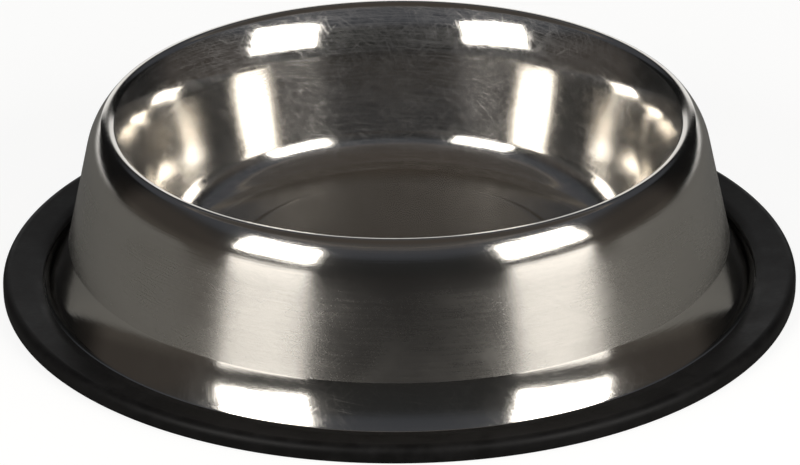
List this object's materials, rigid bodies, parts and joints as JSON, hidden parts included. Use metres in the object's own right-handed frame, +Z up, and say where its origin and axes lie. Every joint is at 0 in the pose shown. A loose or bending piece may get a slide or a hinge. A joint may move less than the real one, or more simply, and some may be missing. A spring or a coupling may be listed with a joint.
{
  "type": "pet bowl",
  "caption": "Low non-tip pet bowl: pressed steel dish with a flared skirt, standing in a removable rubber ring.",
  "frame": {"origin": "on the bowl's axis, at the height of the ground that the rubber ring stands on", "axes": "+Z up along the bowl's axis, -Y towards the viewer of the picture, +X to the viewer's right"},
  "size_m": [0.2502, 0.2502, 0.0563],
  "materials": {
    "stainless_steel": "satin skirt, bright rim and dish with fine use scratches, brushed floor disc",
    "black_rubber": "moulded, satin, lightly scuffed"
  },
  "bodies": {
    "ring": {"rubber_ring": "black_rubber"},
    "bowl": {"steel_bowl": "stainless_steel"}
  },
  "joints": [
    {"name": "bowl_lift", "type": "slide", "parent": "ring", "child": "bowl", "axis": [0, 0, 1], "range_m": [0, 0.06], "deforming": ["rubber_ring"]}
  ]
}
